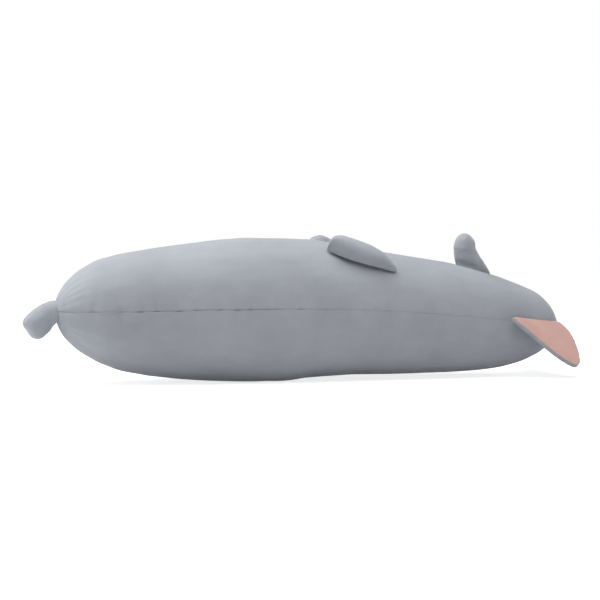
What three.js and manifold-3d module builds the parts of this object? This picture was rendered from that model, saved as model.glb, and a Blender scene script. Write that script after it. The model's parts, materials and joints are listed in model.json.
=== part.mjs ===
// Elephant body pillow: a long stuffed plush elephant that lies on its back, belly up.
// Two sewn body panels hold the filling. Arms, trunk, tail and ears are sewn on and flex at their roots.
// Millimetres, +Z up, +X towards the head, the floor at z = 0. The elephant's left side is at -Y.
import * as THREE from "three";
import { mergeVertices } from "three/addons/utils/BufferGeometryUtils.js";
import Module from "manifold-3d";

const wasm = await Module();
wasm.setup();

// Cloth and sewing
const plushThickness = 2.5;
const seamGap = 0.3;
const fillingGap = 0.9;
const fillingDepth = plushThickness + fillingGap;
const seamDraw = 2;
const seamBand = 0.07;

// Body
const bodyLength = 1040;
const bodyHeight = 283;
const bodyHalfWidth = 150;
// Its outline from the tail end to the top of the head, in shares of those three sizes.
// place is the distance from the tail end, seam the height of the side seam above the floor,
// crown the belly above that seam, depth the back below it, and side the half width.
const bodyStations = [
  { place: 0, seam: 0.502, crown: 0.304, depth: 0.375, side: 0.693 },
  { place: 0.178, seam: 0.512, crown: 0.413, depth: 0.466, side: 0.893 },
  { place: 0.346, seam: 0.523, crown: 0.477, depth: 0.556, side: 1 },
  { place: 0.404, seam: 0.521, crown: 0.481, depth: 0.58, side: 1 },
  { place: 0.505, seam: 0.512, crown: 0.473, depth: 0.495, side: 0.993 },
  { place: 0.654, seam: 0.488, crown: 0.403, depth: 0.463, side: 0.893 },
  { place: 0.784, seam: 0.442, crown: 0.371, depth: 0.41, side: 0.787 },
  { place: 0.875, seam: 0.406, crown: 0.311, depth: 0.357, side: 0.693 },
  { place: 1, seam: 0.357, crown: 0.191, depth: 0.29, side: 0.493 },
];
// How far in from each end the outline is still rounding up to those sizes
const tailEndRound = { crown: 112, depth: 170, side: 130 };
const headEndRound = { crown: 60, depth: 165, side: 110 };

// Arms: stuffed paddles that lie on the belly, sewn to it at the shoulder
const armLength = 138;
const armShoulderFromHead = 379;
const armShoulderShare = 0.68;
const armHandShare = 0.567;
const armShoulderThickness = 18;
const armHandThickness = 47;
const armShoulderWidth = 30;
const armHandWidth = 66;
const armShoulderRound = 17;
const armHandRound = 34;

// Trunk: a stuffed tube whose ball-shaped root sits in a round opening in the face
const trunkFromHead = 192;
const trunkRootRadius = 37;
const trunkBaseRadius = 25;
const trunkTipRadius = 22;
const trunkHeight = 64;
const trunkLean = 20;
const trunkStraight = 36;
const trunkTaperShare = 0.5;

// Tail: a short stuffed stub on the end where the side seams meet
const tailRootRadius = 26;
const tailRootInset = 2;
const tailRootDrop = 7;
const tailNeckRadius = 24;
const tailLength = 62;
const tailEndRadius = 29;
const tailEndFlatness = 0.85;
const tailEndRounding = 16;
const tailFullShare = 0.6;
const tailFlatFrom = 0.25;
const tailDroop = THREE.MathUtils.degToRad(36);

// A ball-shaped root turns in its opening with this clearance all round
const rootClearance = 0.8;

// Ears: padded flaps caught in the side seam, pink inside and grey outside
const earRootFromHead = 76;
const earRootLength = 132;
const earRootCurve = 9;
const earReach = 110;
const earTipForward = 112;
const earTipRound = 12;
const earFrontBulge = 20;
const earLowerBow = 12;
const earCrown = 6.5;
const earEdge = 3.2;
const earDroop = { left: THREE.MathUtils.degToRad(52), right: THREE.MathUtils.degToRad(32) };
const earStandOff = 1.3;

// Facets
const bodyRows = 22;
const bodyColumns = 8;
const limbRows = 10;
const limbColumns = 5;
const earSpokes = 16;
const earShares = [0, 0.35, 0.65, 0.9, 1];
const socketSegments = 24;

const greyPlush = new THREE.MeshStandardMaterial({ color: 0x9aa1aa, roughness: 0.95, metalness: 0 });
const pinkPlush = new THREE.MeshStandardMaterial({ color: 0xcf9f99, roughness: 0.95, metalness: 0 });
const whiteFibre = new THREE.MeshStandardMaterial({ color: 0xf2f1ec, roughness: 1, metalness: 0 });

const halfGap = seamGap / 2;
const zAxis = new THREE.Vector3(0, 0, 1);
const yAxis = new THREE.Vector3(0, 1, 0);

// Share of full size at a distance in from a rounded end: a quarter of an ellipse
function quarter(distance, roundLength) {
  const left = Math.max(0, 1 - Math.max(0, distance) / roundLength);
  return Math.sqrt(Math.max(0, 1 - left * left));
}

// Distance along a form at its share s, with stations close together near both ends
function along(length, s) {
  return (length * (1 - Math.cos(Math.PI * s))) / 2;
}

// A soft form is a function (s, angle) that gives the point at share s of its length and an angle around it.
// Its outward normal comes from two short steps on the surface.
const surfaceStep = 1e-3;

function normalOf(form, s, angle) {
  const around = form(s, angle + surfaceStep).sub(form(s, angle - surfaceStep));
  const lengthways = form(s + surfaceStep, angle).sub(form(s - surfaceStep, angle));
  return around.cross(lengthways).normalize();
}

function endNormal(form, s, rows) {
  const near = Math.abs(s - 1 / (2 * rows));
  const sum = new THREE.Vector3();
  for (let quarterTurn = 0; quarterTurn < 4; quarterTurn += 1) {
    sum.add(normalOf(form, near, (quarterTurn * Math.PI) / 2));
  }
  return sum.normalize();
}

// The same form drawn in by a depth, kept that depth above the floor
function drawnIn(form, depth, rows) {
  return (s, angle) => {
    const isEnd = s <= 0 || s >= 1;
    const normal = isEnd ? endNormal(form, s, rows) : normalOf(form, s, angle);
    const point = form(s, angle).addScaledVector(normal, -depth);
    point.z = Math.max(point.z, depth);
    return point;
  };
}

// Angles across half a form, with one narrow band beside each seam
function panelAngles(start, columns) {
  const angles = [start];
  for (let column = 0; column <= columns; column += 1) {
    angles.push(start + seamBand + ((Math.PI - 2 * seamBand) * column) / columns);
  }
  angles.push(start + Math.PI);
  return angles;
}

// Adds the points of one layer and returns their numbers by row and column. Each end is a single point.
function addLayer(positions, form, rows, angles) {
  const numbers = [];
  for (let row = 0; row <= rows; row += 1) {
    const isEnd = row === 0 || row === rows;
    const line = [];
    for (const angle of isEnd ? [0] : angles) {
      line.push(positions.length / 3);
      positions.push(...form(row / rows, angle).toArray());
    }
    numbers.push(isEnd ? angles.map(() => line[0]) : line);
  }
  return numbers;
}

// Two facets between neighbours a, b of one row and c, d of the next, facing out, or in where that is asked
function addQuad(faces, a, b, c, d, inward) {
  if (a !== b) faces.push(...(inward ? [a, c, b] : [a, b, c]));
  if (c !== d) faces.push(...(inward ? [b, c, d] : [b, d, c]));
}

function meshGeometry(positions, faces) {
  const geometry = new THREE.BufferGeometry();
  geometry.setAttribute("position", new THREE.Float32BufferAttribute(positions, 3));
  geometry.setIndex(faces);
  return geometry;
}

// A sewn panel: half of a form as a shell of cloth, moved off the seam plane by half the seam gap
function panel(form, start, rows, columns, offSeam) {
  const angles = panelAngles(start, columns);
  const positions = [];
  const moved = (source) => (s, angle) => {
    const point = source(s, angle).add(offSeam);
    point.z = Math.max(point.z, 0);
    return point;
  };
  const outer = addLayer(positions, moved(form), rows, angles);
  const inner = addLayer(positions, moved(drawnIn(form, plushThickness, rows)), rows, angles);
  const faces = [];
  const last = angles.length - 1;
  for (let row = 0; row < rows; row += 1) {
    for (let column = 0; column < last; column += 1) {
      const band = (layer, inward) =>
        addQuad(
          faces,
          layer[row][column],
          layer[row][column + 1],
          layer[row + 1][column],
          layer[row + 1][column + 1],
          inward,
        );
      band(outer, false);
      band(inner, true);
    }
    addQuad(faces, outer[row][0], outer[row + 1][0], inner[row][0], inner[row + 1][0], false);
    addQuad(faces, outer[row + 1][last], outer[row][last], inner[row + 1][last], inner[row][last], false);
  }
  return meshGeometry(positions, faces);
}

// A closed core: the whole form drawn in by a depth
function core(form, depth, rows, columns) {
  const angles = [0, Math.PI].flatMap((start) => panelAngles(start, columns).slice(0, -1));
  const positions = [];
  const skin = addLayer(positions, drawnIn(form, depth, rows), rows, angles);
  const faces = [];
  for (let row = 0; row < rows; row += 1) {
    angles.forEach((_, column) => {
      const next = (column + 1) % angles.length;
      addQuad(faces, skin[row][column], skin[row][next], skin[row + 1][column], skin[row + 1][next], false);
    });
  }
  return meshGeometry(positions, faces);
}

// Cutting: a closed geometry becomes a solid, and a cut solid becomes a geometry again
function solidOf(geometry) {
  const bare = new THREE.BufferGeometry();
  bare.setAttribute("position", geometry.getAttribute("position").clone());
  bare.setIndex(geometry.index ? geometry.index.clone() : null);
  const merged = mergeVertices(bare);
  const vertProperties = new Float32Array(merged.getAttribute("position").array);
  const triVerts = new Uint32Array(merged.index.array);
  return new wasm.Manifold(new wasm.Mesh({ numProp: 3, vertProperties, triVerts }));
}

function geometryOf(solid) {
  const mesh = solid.getMesh();
  return meshGeometry(Array.from(mesh.vertProperties), Array.from(mesh.triVerts));
}

function cut(geometry, ...cutters) {
  return geometryOf(cutters.reduce((solid, cutter) => solid.subtract(solidOf(cutter)), solidOf(geometry)));
}

// The same piece for the other side of the animal
function mirrored(geometry) {
  const copy = geometry.clone().scale(1, -1, 1);
  const faces = Array.from(copy.index.array);
  for (let face = 0; face < faces.length; face += 3) {
    const second = faces[face + 1];
    faces[face + 1] = faces[face + 2];
    faces[face + 2] = second;
  }
  copy.setIndex(faces);
  return copy;
}

// Body form
const bodyPlaces = bodyStations.map(({ place }) => place * bodyLength);
const bodySizes = bodyStations.flatMap(({ seam, crown, depth, side }) => [
  seam * bodyHeight,
  crown * bodyHeight,
  depth * bodyHeight,
  side * bodyHalfWidth,
]);
const bodyLines = new THREE.CubicInterpolant(bodyPlaces, bodySizes, bodySizes.length / bodyPlaces.length);

function bodySection(x) {
  const [seam, crown, depth, side] = bodyLines.evaluate(x);
  const rounding = (key) => quarter(x, tailEndRound[key]) * quarter(bodyLength - x, headEndRound[key]);
  return {
    seam,
    crown: crown * rounding("crown"),
    depth: depth * rounding("depth"),
    side: side * rounding("side"),
    draw: seamDraw * rounding("side"),
  };
}

function bodyForm(s, angle) {
  const x = along(bodyLength, s);
  const section = bodySection(x);
  const rise = Math.sin(angle);
  const draw = section.draw * Math.exp(-((rise / seamBand) ** 2));
  const z = section.seam + rise * (rise > 0 ? section.crown : section.depth);
  return new THREE.Vector3(x, (section.side - draw) * Math.cos(angle), Math.max(z, 0));
}

// The belly's surface above a point of the plan
function bellyPoint(x, y) {
  const { seam, crown, side } = bodySection(x);
  const share = Math.min(1, Math.abs(y) / side);
  return new THREE.Vector3(x, y, seam + crown * Math.sqrt(1 - share * share));
}

function bellyNormal(x, y) {
  const alongBody = bellyPoint(x + 1, y).sub(bellyPoint(x - 1, y));
  const acrossBody = bellyPoint(x, y + 1).sub(bellyPoint(x, y - 1));
  return alongBody.cross(acrossBody).normalize();
}

// Left arm form: it follows the belly from the shoulder to the hand, at shares of the half width
const armShoulderOut = armShoulderShare * bodyHalfWidth;
const armHandOut = armHandShare * bodyHalfWidth;
const armShoulder = bellyPoint(bodyLength - armShoulderFromHead, -armShoulderOut);
const armPlanLength = Math.sqrt(armLength ** 2 - (armShoulderOut - armHandOut) ** 2);
const armHand = bellyPoint(armShoulder.x - armPlanLength, -armHandOut);

function armFrame(distance) {
  const share = distance / armLength;
  const plan = new THREE.Vector3().lerpVectors(armShoulder, armHand, share);
  const normal = bellyNormal(plan.x, plan.y);
  const heading = new THREE.Vector3().subVectors(armHand, armShoulder).normalize();
  const across = new THREE.Vector3().crossVectors(normal, heading).normalize();
  return { place: bellyPoint(plan.x, plan.y), normal, across };
}

function armForm(s, angle) {
  const distance = along(armLength, s);
  const share = distance / armLength;
  const rounding = quarter(distance, armShoulderRound) * quarter(armLength - distance, armHandRound);
  const halfThickness = (THREE.MathUtils.lerp(armShoulderThickness, armHandThickness, share) / 2) * rounding;
  const halfWidth = (THREE.MathUtils.lerp(armShoulderWidth, armHandWidth, share) / 2) * rounding;
  const { place, normal, across } = armFrame(distance);
  return place
    .addScaledVector(normal, halfThickness * (1 + Math.sin(angle)) + seamGap)
    .addScaledVector(across, halfWidth * Math.cos(angle));
}

// The larger of two sizes, with the change from one to the other rounded over a blend
function blendedMax(a, b, blend) {
  const overlap = Math.max(0, blend - Math.abs(a - b));
  return Math.max(a, b) + overlap ** 2 / (4 * blend);
}

// A limb with a ball-shaped root: the centre line starts straight through the ball and then follows a curve
function ballLimb(curve, rootRadius, radiusAt, flatnessAt) {
  const curveLength = curve.getLength();
  const length = rootRadius + curveLength;
  const blend = rootRadius - radiusAt(0, curveLength);
  return (s, angle) => {
    const distance = along(length, s) - rootRadius;
    const share = THREE.MathUtils.clamp(distance / curveLength, 0, 1);
    const heading = curve.getTangentAt(share);
    const place = curve.getPointAt(share);
    if (distance < 0) place.addScaledVector(heading, distance);
    const ball = Math.sqrt(Math.max(0, rootRadius ** 2 - distance ** 2));
    const radius = distance < 0 ? ball : blendedMax(ball, radiusAt(distance, curveLength), blend);
    const width = radius * flatnessAt(share);
    const front = new THREE.Vector3().crossVectors(yAxis, heading);
    return place
      .addScaledVector(front, radius * Math.cos(angle))
      .addScaledVector(yAxis, width * Math.sin(angle));
  };
}

// Trunk form: it stands up from the face and leans towards the belly, bent above its root
const trunkX = bodyLength - trunkFromHead;
const trunkRootWay = bellyNormal(trunkX, 0);
const trunkCentre = bellyPoint(trunkX, 0);
const trunkTip = trunkCentre.clone().add(new THREE.Vector3(-trunkLean, 0, trunkHeight));
const trunkCurve = new THREE.QuadraticBezierCurve3(
  trunkCentre,
  trunkCentre.clone().addScaledVector(trunkRootWay, trunkStraight),
  trunkTip,
);
const trunkForm = ballLimb(
  trunkCurve,
  trunkRootRadius,
  (distance, length) => {
    const taper = Math.min(1, distance / (length * trunkTaperShare));
    const radius = THREE.MathUtils.lerp(trunkBaseRadius, trunkTipRadius, taper);
    return radius * quarter(length - distance, trunkTipRadius);
  },
  () => 1,
);

// Tail form: it droops from the end of the body and widens to a blunt end
const tailCentre = new THREE.Vector3(tailRootInset, 0, bodySection(0).seam - tailRootDrop);
const tailRootWay = new THREE.Vector3(-1, 0, 0);
const tailHeading = new THREE.Vector3(-Math.cos(tailDroop), 0, -Math.sin(tailDroop));
const tailCurve = new THREE.QuadraticBezierCurve3(
  tailCentre,
  tailCentre.clone().addScaledVector(tailRootWay, tailRootRadius),
  tailCentre.clone().addScaledVector(tailHeading, tailLength),
);
const tailForm = ballLimb(
  tailCurve,
  tailRootRadius,
  (distance, length) => {
    const widening = THREE.MathUtils.smoothstep(distance / length, 0, tailFullShare);
    const radius = THREE.MathUtils.lerp(tailNeckRadius, tailEndRadius, widening);
    return radius * quarter(length - distance, tailEndRounding);
  },
  (share) => THREE.MathUtils.lerp(1, tailEndFlatness, THREE.MathUtils.smoothstep(share, tailFlatFrom, 1)),
);

// Openings that the ball-shaped roots sit in
function socket(centre, rootRadius) {
  const ball = new THREE.SphereGeometry(rootRadius + rootClearance, socketSegments, socketSegments / 2);
  return ball.translate(centre.x, centre.y, centre.z);
}
const trunkSocket = socket(trunkCentre, trunkRootRadius);
const tailSocket = socket(tailCentre, tailRootRadius);

// Left ear: its root line runs along the side seam, and the flap droops outwards from it
const earX = bodyLength - earRootFromHead;
const seamPoint = (x) => {
  const { seam, side } = bodySection(x);
  return new THREE.Vector3(x, -side, seam);
};
const earRoot = seamPoint(earX + 1).sub(seamPoint(earX - 1)).normalize();
const earOutward = new THREE.Vector3().crossVectors(earRoot, zAxis).normalize();
const earHinge = seamPoint(earX).addScaledVector(earOutward, earStandOff);

// Flat outline of the ear: x along the root line, y out from it
const earHalfRoot = earRootLength / 2;
const earBackCorner = new THREE.Vector2(-earHalfRoot, -earRootCurve);
const earFrontCorner = new THREE.Vector2(earHalfRoot, -earRootCurve);
const earTip = new THREE.Vector2(earTipForward - earHalfRoot, earReach);
const earBow = new THREE.Vector2(-earReach, earTipForward).setLength(2 * earLowerBow);
const earLowerMiddle = new THREE.Vector2().addVectors(earBackCorner, earTip).divideScalar(2).add(earBow);
const earOutline = new THREE.Shape();
earOutline.moveTo(earBackCorner.x, earBackCorner.y);
earOutline.quadraticCurveTo(0, earRootCurve, earFrontCorner.x, earFrontCorner.y);
earOutline.bezierCurveTo(
  earFrontCorner.x + earFrontBulge,
  0,
  earFrontCorner.x + earFrontBulge,
  earReach / 2,
  earTip.x + earTipRound,
  earTip.y - earTipRound,
);
earOutline.quadraticCurveTo(earTip.x, earTip.y + earTipRound / 2, earTip.x - earTipRound, earTip.y - earEdge);
earOutline.quadraticCurveTo(earLowerMiddle.x, earLowerMiddle.y, earBackCorner.x, earBackCorner.y);
const earEdgePoints = earOutline.getSpacedPoints(earSpokes).slice(0, earSpokes);
const earMiddle = earEdgePoints
  .reduce((sum, point) => sum.add(point), new THREE.Vector2())
  .divideScalar(earSpokes);

// A layer of the ear between two heights, each a function of the share from the middle to the edge
function earLayer(droop, upper, lower, shares) {
  const reachWay = new THREE.Vector3()
    .addScaledVector(earOutward, Math.cos(droop))
    .addScaledVector(zAxis, -Math.sin(droop));
  const facing = new THREE.Vector3().crossVectors(reachWay, earRoot).normalize();
  const positions = [];
  const addSheet = (height) =>
    shares.map((share) => {
      const line = [];
      for (const edge of share === 0 ? [earMiddle] : earEdgePoints) {
        const flat = new THREE.Vector2().lerpVectors(earMiddle, edge, share);
        const point = earHinge
          .clone()
          .addScaledVector(earRoot, flat.x)
          .addScaledVector(reachWay, flat.y)
          .addScaledVector(facing, height(share));
        line.push(positions.length / 3);
        positions.push(...point.toArray());
      }
      return share === 0 ? earEdgePoints.map(() => line[0]) : line;
    });
  const top = addSheet(upper);
  const bottom = addSheet(lower);
  const rim = shares.length - 1;
  const faces = [];
  earEdgePoints.forEach((_, spoke) => {
    const next = (spoke + 1) % earSpokes;
    const between = (near, far, inward) =>
      addQuad(faces, near[spoke], near[next], far[spoke], far[next], inward);
    for (let ring = 0; ring < rim; ring += 1) {
      between(top[ring], top[ring + 1], false);
      between(bottom[ring], bottom[ring + 1], true);
    }
    between(top[rim], bottom[rim], false);
  });
  return meshGeometry(positions, faces);
}

// The ear's faces swell from the sewn edge to the middle, and each cloth turns in to the seam at the edge
const earPadShares = earShares.slice(0, -1);
const earSwell = (share) => earEdge + (earCrown - earEdge) * (1 - share ** 2);
const earLining = (share) => (share < 1 ? earSwell(share) - plushThickness : halfGap);
const earPad = (share) => earSwell(share) - fillingDepth;

// Pieces
function piece(name, geometry, material) {
  const mesh = new THREE.Mesh(geometry, material);
  mesh.name = name;
  return mesh;
}

// A group that turns about a hinge, whose point and axis are kept with it
function limb(point, axis, meshes) {
  const group = new THREE.Group();
  group.userData.hinge = { point: point.toArray(), axis: axis.toArray() };
  return group.add(...meshes);
}

const aboveSeam = new THREE.Vector3(0, 0, halfGap);
const belowSeam = new THREE.Vector3(0, 0, -halfGap);
const leftOfSeam = new THREE.Vector3(0, -halfGap, 0);
const rightOfSeam = new THREE.Vector3(0, halfGap, 0);

const torso = new THREE.Group().add(
  piece(
    "belly_panel",
    cut(panel(bodyForm, 0, bodyRows, bodyColumns, aboveSeam), trunkSocket, tailSocket),
    greyPlush,
  ),
  piece("back_panel", cut(panel(bodyForm, Math.PI, bodyRows, bodyColumns, belowSeam), tailSocket), greyPlush),
  piece(
    "body_filling",
    cut(core(bodyForm, fillingDepth, bodyRows, bodyColumns), trunkSocket, tailSocket),
    whiteFibre,
  ),
);

const trunk = limb(trunkCentre, yAxis, [
  piece("trunk_right_panel", panel(trunkForm, 0, limbRows, limbColumns, rightOfSeam), greyPlush),
  piece("trunk_left_panel", panel(trunkForm, Math.PI, limbRows, limbColumns, leftOfSeam), greyPlush),
  piece("trunk_filling", core(trunkForm, fillingDepth, limbRows, limbColumns), whiteFibre),
]);

const tail = limb(tailCentre, yAxis, [
  piece("tail_right_panel", panel(tailForm, 0, limbRows, limbColumns, rightOfSeam), greyPlush),
  piece("tail_left_panel", panel(tailForm, Math.PI, limbRows, limbColumns, leftOfSeam), greyPlush),
  piece("tail_filling", core(tailForm, fillingDepth, limbRows, limbColumns), whiteFibre),
]);

const shoulderFrame = armFrame(0);
const overArm = shoulderFrame.normal.clone().multiplyScalar(halfGap);
const underArm = overArm.clone().negate();
const armPieces = {
  upper_panel: [panel(armForm, 0, limbRows, limbColumns, overArm), greyPlush],
  under_panel: [panel(armForm, Math.PI, limbRows, limbColumns, underArm), greyPlush],
  filling: [core(armForm, fillingDepth, limbRows, limbColumns), whiteFibre],
};
const earPieces = (droop) => ({
  lining: [earLayer(droop, earSwell, earLining, earShares), pinkPlush],
  back: [earLayer(droop, (share) => -earLining(share), (share) => -earSwell(share), earShares), greyPlush],
  wadding: [earLayer(droop, earPad, (share) => -earPad(share), earPadShares), whiteFibre],
});

// The pieces of one side, made for the left and mirrored for the right
function sidePieces(side, name, pieces) {
  return Object.entries(pieces).map(([key, [geometry, material]]) =>
    piece(`${side}_${name}_${key}`, side === "left" ? geometry : mirrored(geometry), material),
  );
}

const otherSide = new THREE.Vector3(1, -1, 1);
const pillow = new THREE.Group().add(torso, trunk, tail);
for (const side of ["left", "right"]) {
  const place = (point) => (side === "left" ? point : point.clone().multiply(otherSide));
  const turn = (axis) => (side === "left" ? axis : axis.clone().multiply(otherSide).negate());
  const liftAxis = shoulderFrame.across.clone().negate();
  pillow.add(
    limb(place(shoulderFrame.place), turn(liftAxis), sidePieces(side, "arm", armPieces)),
    limb(place(earHinge), turn(earRoot.clone().negate()), sidePieces(side, "ear", earPieces(earDroop[side]))),
  );
}

// The origin is on the floor, under the station where the back reaches lowest
const clearance = bodyStations.map(({ seam, depth }) => seam - depth);
pillow.position.x = -bodyPlaces[clearance.indexOf(Math.min(...clearance))];

export default pillow;
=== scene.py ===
import json

import bmesh
import bpy
import numpy as np
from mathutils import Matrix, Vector
from mathutils.bvhtree import BVHTree

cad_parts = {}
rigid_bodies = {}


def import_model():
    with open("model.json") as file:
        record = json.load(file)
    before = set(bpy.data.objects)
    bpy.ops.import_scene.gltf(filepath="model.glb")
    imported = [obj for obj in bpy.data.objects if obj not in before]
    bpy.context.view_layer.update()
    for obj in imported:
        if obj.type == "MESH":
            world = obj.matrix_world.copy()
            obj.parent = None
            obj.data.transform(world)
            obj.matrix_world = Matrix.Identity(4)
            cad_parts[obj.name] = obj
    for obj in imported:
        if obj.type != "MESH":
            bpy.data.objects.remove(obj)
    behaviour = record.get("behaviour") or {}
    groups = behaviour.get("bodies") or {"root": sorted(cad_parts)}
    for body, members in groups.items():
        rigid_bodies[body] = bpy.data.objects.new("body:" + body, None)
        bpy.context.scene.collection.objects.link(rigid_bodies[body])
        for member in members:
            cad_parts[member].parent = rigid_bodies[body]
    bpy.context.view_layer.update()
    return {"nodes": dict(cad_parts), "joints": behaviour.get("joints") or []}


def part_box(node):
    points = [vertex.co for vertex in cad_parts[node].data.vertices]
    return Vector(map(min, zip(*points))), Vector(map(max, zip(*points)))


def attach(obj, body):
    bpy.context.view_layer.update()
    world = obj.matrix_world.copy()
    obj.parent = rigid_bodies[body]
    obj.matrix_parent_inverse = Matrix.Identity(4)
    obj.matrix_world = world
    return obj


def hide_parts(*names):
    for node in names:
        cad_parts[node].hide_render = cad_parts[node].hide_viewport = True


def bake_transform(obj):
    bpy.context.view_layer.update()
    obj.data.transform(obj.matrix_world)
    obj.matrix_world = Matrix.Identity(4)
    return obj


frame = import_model()
hinges = {joint["child"]: Vector(joint["pos_m"]) for joint in frame["joints"]}

# The body is one long stuffed bag of short-pile grey velour, sewn from a belly piece and a back piece.
# The two meet in a seam along both sides, which is drawn tight, so the cloth puckers above and below it.
# The bag is blown up as cloth with its seam held, then cut along the seam into the two covers.
TRUNK_PIT = 0.0384
TAIL_PIT = 0.0274
WELD_DISTANCE = 0.00002
BODY_VOXEL = 0.007
BODY_SLACK = 0.0040
BODY_SWELL = 0.0046
BODY_PROUD = 0.0012
FIT_REACH = 0.012
COVER_THICKNESS = 0.0024
CLOTH_FRAMES = 20
STUFFING_PRESSURE = 4.0
# Heights of the side seam at places along the body
SEAM_HEIGHTS = [
    (-0.420, 0.1421), (-0.235, 0.1449), (-0.060, 0.1480), (0.000, 0.1474), (0.105, 0.1449),
    (0.260, 0.1381), (0.395, 0.1251), (0.490, 0.1149), (0.620, 0.1010),
]
SEAM_CURVE_DEGREE = 5
SEAM_LEVELS = (-0.0100, -0.0050, -0.0020, 0.0, 0.0020, 0.0050, 0.0100)
SEAM_SNAP = 0.0009
SEAM_MERGE = 0.0002
SEAM_HOLD = 0.5
SEAM_HOLD_WIDTH = 0.005
SEAM_FULLNESS = 0.0004
SEAM_FULL_WIDTH = 0.014
SEAM_DEPTH = 0.0006
SEAM_REACH = 0.0016
SEAM_PLACES = [-0.42, 0.00, 0.15, 0.62]
SEAM_TIGHTNESS = [0.8, 1.0, 0.45, 0.30]
CLOTH_SEED = 7
PUCKER_ENDS = (-0.405, 0.60)
PUCKER_PLACES = [-0.40, -0.33, -0.05, 0.08, 0.30, 0.60]
PUCKER_STRENGTH = [0.5, 1.0, 1.0, 0.55, 0.35, 0.25]
PUCKER_SPACING = 0.036
PUCKER_UNEVENNESS = (0.6, 1.5)
PUCKER_DEPTH = 0.0030
PUCKER_SHALLOWEST = 0.35
PUCKER_WIDTH = (0.0045, 0.0080)
PUCKER_LENGTH = (0.010, 0.019)
PUCKER_SLANT = 0.25
PUCKER_DEEPEST_AT = 0.35
CREASE_PLACES = (0.128, 0.163, 0.192, 0.238, 0.287, 0.310)
CREASE_DEPTH = 0.0007
CREASE_WIDTH = 0.0055
CREASE_SWAY = 0.006
CREASE_SWAY_RATE = 40
CREASE_SWAY_SHIFT = 90
CREASE_START = 0.02
CREASE_MIDDLE = 0.045
CREASE_LENGTH = 0.035
LUMPS = 70
LUMP_HEIGHT = 0.0011
LUMP_REACH = (0.030, 0.065)
LUMP_FLOOR_FADE = 0.05
FLOOR_SOFTENING = 0.005
FLOOR_SETTLING = 0.0010
GATHERS = 26
GATHER_WANDER = 2.0
GATHER_WANDERS = 5
GATHER_DEPTH = 0.0004
GATHER_PLACE = 0.030
GATHER_LENGTH = 0.026
GREY = (0.372, 0.392, 0.428, 1.0)
GREY_SHEEN = (0.80, 0.84, 0.92, 1.0)
GREY_MOTTLING = 0.55

seam_line = np.polyfit([x for x, _ in SEAM_HEIGHTS], [z for _, z in SEAM_HEIGHTS], SEAM_CURVE_DEGREE)


def only(piece):
    bpy.ops.object.select_all(action="DESELECT")
    piece.select_set(True)
    bpy.context.view_layer.objects.active = piece


def points(piece):
    flat = np.empty(len(piece.data.vertices) * 3)
    piece.data.vertices.foreach_get("co", flat)
    return flat.reshape(-1, 3)


def outward(piece):
    flat = np.empty(len(piece.data.vertices) * 3)
    piece.data.vertices.foreach_get("normal", flat)
    return flat.reshape(-1, 3)


def place(piece, where):
    piece.data.vertices.foreach_set("co", where.ravel())
    piece.data.update()


def apply(piece, kind, **values):
    only(piece)
    modifier = piece.modifiers.new(kind.title(), kind)
    for key, value in values.items():
        setattr(modifier, key, value)
    bpy.ops.object.modifier_apply(modifier=modifier.name)


def copy_of(name, *nodes):
    """One mesh with the shapes of the given solids, welded into quads."""
    both = bmesh.new()
    for node in nodes:
        both.from_mesh(frame["nodes"][node].data)
    mesh = bpy.data.meshes.new(name)
    both.to_mesh(mesh)
    both.free()
    piece = bpy.data.objects.new(name, mesh)
    bpy.context.scene.collection.objects.link(piece)
    only(piece)
    bpy.ops.object.mode_set(mode="EDIT")
    bpy.ops.mesh.select_all(action="SELECT")
    bpy.ops.mesh.remove_doubles(threshold=WELD_DISTANCE)
    bpy.ops.mesh.tris_convert_to_quads()
    bpy.ops.object.mode_set(mode="OBJECT")
    return piece


def close_pit(piece, centre, radius):
    """Closes the round pit in a filling where a limb is set in, with one face."""
    only(piece)
    inside = np.linalg.norm(points(piece) - np.array(centre), axis=1) < radius
    bpy.ops.object.mode_set(mode="EDIT")
    bpy.ops.mesh.select_mode(type="VERT")
    bpy.ops.mesh.select_all(action="DESELECT")
    bpy.ops.object.mode_set(mode="OBJECT")
    for face in piece.data.polygons:
        face.select = all(inside[index] for index in face.vertices)
    bpy.ops.object.mode_set(mode="EDIT")
    bpy.ops.mesh.select_mode(type="FACE")
    bpy.ops.mesh.delete(type="FACE")
    bpy.ops.mesh.select_all(action="SELECT")
    bpy.ops.mesh.fill_holes(sides=0)
    bpy.ops.mesh.normals_make_consistent(inside=False)
    bpy.ops.object.mode_set(mode="OBJECT")


def even_out(piece, repeat, factor=0.5):
    only(piece)
    bpy.ops.object.mode_set(mode="EDIT")
    bpy.ops.mesh.select_all(action="SELECT")
    bpy.ops.mesh.vertices_smooth(factor=factor, repeat=repeat)
    bpy.ops.object.mode_set(mode="OBJECT")


def fit(piece, panels, below, evening, still=None):
    """Sets a skin below or above the outer face of its panels, by shifts evened out over its neighbours."""
    shell = bmesh.new()
    for node in panels:
        shell.from_mesh(frame["nodes"][node].data)
    tree = BVHTree.FromBMesh(shell)
    shell.free()
    where, normal = points(piece), outward(piece)
    shift = np.zeros(len(where))
    known = np.zeros(len(where), bool)
    for index in range(len(where)):
        start = Vector(where[index] + normal[index] * FIT_REACH)
        hit = tree.ray_cast(start, Vector(-normal[index]), 2 * FIT_REACH)[3]
        if hit is not None:
            shift[index] = FIT_REACH - hit - below
            known[index] = True
    if still is not None:
        shift[still] = 0
        known |= still
    ends = np.array([edge.vertices[:] for edge in piece.data.edges])
    for turn in range(evening):
        total, count = np.zeros(len(where)), np.zeros(len(where))
        for first, second in ((ends[:, 0], ends[:, 1]), (ends[:, 1], ends[:, 0])):
            usable = known[second]
            np.add.at(total, first[usable], shift[second[usable]])
            np.add.at(count, first[usable], 1)
        mean = total / np.maximum(count, 1)
        shift = np.where(known, shift * 0.5 + mean * 0.5, mean)
        known |= count > 0
    place(piece, where + normal * shift[:, None])


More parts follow.
